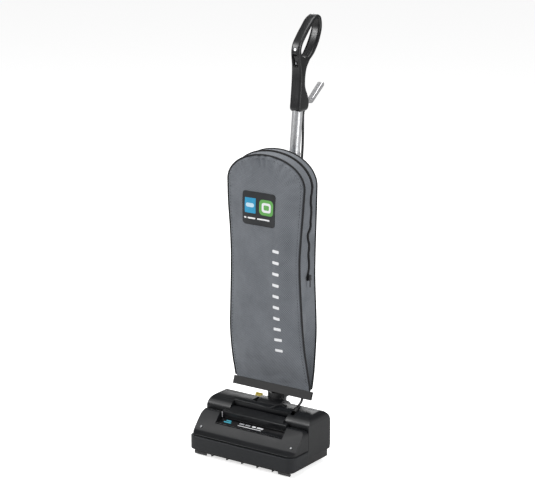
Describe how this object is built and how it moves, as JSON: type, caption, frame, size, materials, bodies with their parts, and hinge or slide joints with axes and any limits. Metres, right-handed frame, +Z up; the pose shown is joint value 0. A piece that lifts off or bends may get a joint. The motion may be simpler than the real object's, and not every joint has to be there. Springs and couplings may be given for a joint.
{
  "type": "upright vacuum cleaner",
  "caption": "Lightweight commercial upright vacuum cleaner with a low floor head, a zipped cloth dust bag on an aluminium tube and a loop grip.",
  "frame": {"origin": "on the floor under the middle of the whole machine", "axes": "+Z up, -Y to the front of the floor head, +X to the right seen from the front"},
  "size_m": [0.342, 0.391, 1.1813],
  "materials": {
    "charcoal_shell": "satin-gloss charcoal moulding",
    "bumper_rubber": "soft dark grey furniture guard",
    "chassis_plastic": "plain black moulding",
    "label_gloss": "gloss printed plate",
    "bright_steel": "plated steel",
    "chrome": "polished",
    "bristle": "nylon tufts",
    "pale_bristle": "grey nylon tufts",
    "wood_core": "varnished beech",
    "belt_rubber": "flat belt",
    "motor_shell": "die-cast",
    "laminations": "stacked steel laminations",
    "copper_windings": "lacquered copper",
    "carbon": "carbon",
    "tyre_rubber": "soft tread",
    "bearing_plastic": "acetal",
    "pedal_yellow": "moulded yellow",
    "lead_rubber": "black flex",
    "aluminium_tube": "bright brushed tube",
    "bag_fabric": "grey woven cloth",
    "piping_fabric": "black bias piping",
    "zip_tape": "black zip tape",
    "slider_metal": "black zip slider",
    "bar_plastic": "extruded dark grey bar",
    "badge_plastic": "printed patch",
    "filter_paper": "filter paper",
    "grip_plastic": "fine-textured black",
    "switch_plastic": "gloss black",
    "lamp_lens": "clear lens",
    "hook_metal": "silver-grey coated hook"
  },
  "bodies": {
    "floor_head": {"base_plate": "chassis_plastic", "brush_guard": "bright_steel", "brush_chamber": "chassis_plastic", "nozzle_cover": "charcoal_shell", "motor_cover": "charcoal_shell", "bumper": "bumper_rubber", "hood_label": "label_gloss", "hood_screws": "chrome", "edge_brushes": "pale_bristle", "brush_shaft": "bright_steel", "brush_end_blocks": "chassis_plastic", "drive_belt": "belt_rubber", "motor_casing": "motor_shell", "motor_stator": "laminations", "carbon_brushes": "carbon", "motor_mounts": "belt_rubber", "fan_housing": "chassis_plastic", "fan_cover": "chassis_plastic", "suction_duct": "chassis_plastic", "neck_bracket": "chassis_plastic", "neck_bush": "bearing_plastic", "pedal_pin": "bright_steel", "pedal_bracket": "chassis_plastic", "rear_axle": "bright_steel", "roller_pins": "bright_steel", "lead_grommet": "lead_rubber", "lead_slack": "lead_rubber"},
    "brush": {"brush_core": "wood_core", "brush_bristles": "bristle"},
    "rotor": {"motor_armature": "copper_windings", "belt_pulley": "bright_steel", "suction_fan": "chassis_plastic"},
    "pedal": {"release_pedal": "pedal_yellow"},
    "wheel_left": {"rear_wheel_left": "tyre_rubber"},
    "wheel_right": {"rear_wheel_right": "tyre_rubber"},
    "roller_left": {"front_roller_left": "chassis_plastic"},
    "roller_right": {"front_roller_right": "chassis_plastic"},
    "handle": {"neck": "grip_plastic", "handle_tube": "aluminium_tube", "tube_plug": "chassis_plastic", "fill_elbow": "chassis_plastic", "bag_cloth": "bag_fabric", "bag_piping": "piping_fabric", "bag_zipper": "zip_tape", "bag_clamp_bar": "bar_plastic", "bag_badge": "badge_plastic", "filter_bag": "filter_paper", "bag_hanger": "bright_steel", "switch_lead": "lead_rubber", "lead_clips": "grip_plastic", "lower_cord_hook": "grip_plastic", "grip_left": "grip_plastic", "grip_right": "grip_plastic", "handle_screws": "bright_steel", "switch_body": "switch_plastic", "switch_lamp": "lamp_lens", "lead_gland": "lead_rubber"},
    "slider": {"zipper_slider": "slider_metal"},
    "rocker": {"rocker_switch": "switch_plastic"},
    "hook": {"cord_hook": "hook_metal"}
  },
  "joints": [
    {"name": "handle_recline", "type": "hinge", "parent": "floor_head", "child": "handle", "pos_m": [0, -0.0355, 0.112], "axis": [-1, 0, 0], "range_deg": [0, 75], "deforming": ["lead_slack"]},
    {"name": "motor_spin", "type": "hinge", "parent": "floor_head", "child": "rotor", "pos_m": [0, -0.0735, 0.066], "axis": [1, 0, 0], "continuous": true},
    {"name": "brush_spin", "type": "hinge", "parent": "floor_head", "child": "brush", "pos_m": [0, -0.1535, 0.033], "axis": [1, 0, 0], "continuous": true},
    {"name": "rear_wheel_left_spin", "type": "hinge", "parent": "floor_head", "child": "wheel_left", "pos_m": [-0.1, 0.0125, 0.027], "axis": [1, 0, 0], "continuous": true},
    {"name": "rear_wheel_right_spin", "type": "hinge", "parent": "floor_head", "child": "wheel_right", "pos_m": [0.1, 0.0125, 0.027], "axis": [1, 0, 0], "continuous": true},
    {"name": "front_roller_left_spin", "type": "hinge", "parent": "floor_head", "child": "roller_left", "pos_m": [-0.11, -0.1035, 0.01], "axis": [1, 0, 0], "continuous": true},
    {"name": "front_roller_right_spin", "type": "hinge", "parent": "floor_head", "child": "roller_right", "pos_m": [0.11, -0.1035, 0.01], "axis": [1, 0, 0], "continuous": true},
    {"name": "pedal_press", "type": "hinge", "parent": "floor_head", "child": "pedal", "pos_m": [-0.074, -0.0115, 0.105], "axis": [-1, 0, 0], "range_deg": [0, 10], "stiffness_Nm_per_rad": 3, "springref_deg": -4.58},
    {"name": "switch_rock", "type": "hinge", "parent": "handle", "child": "rocker", "pos_m": [0, 0.076, 1.066], "axis": [-1, 0, 0], "range_deg": [0, 14]},
    {"name": "hook_swivel", "type": "hinge", "parent": "handle", "child": "hook", "pos_m": [0, 0.1095, 0.952], "axis": [0, 1, 0], "range_deg": [0, 180]},
    {"name": "zip_slide", "type": "slide", "parent": "handle", "child": "slider", "axis": [0.0466, 0, 0.9989], "range_m": [0, 0.2]}
  ],
  "couplings": [
    {"joint": "brush_spin", "follows": "motor_spin", "ratio": 0.5322}
  ]
}
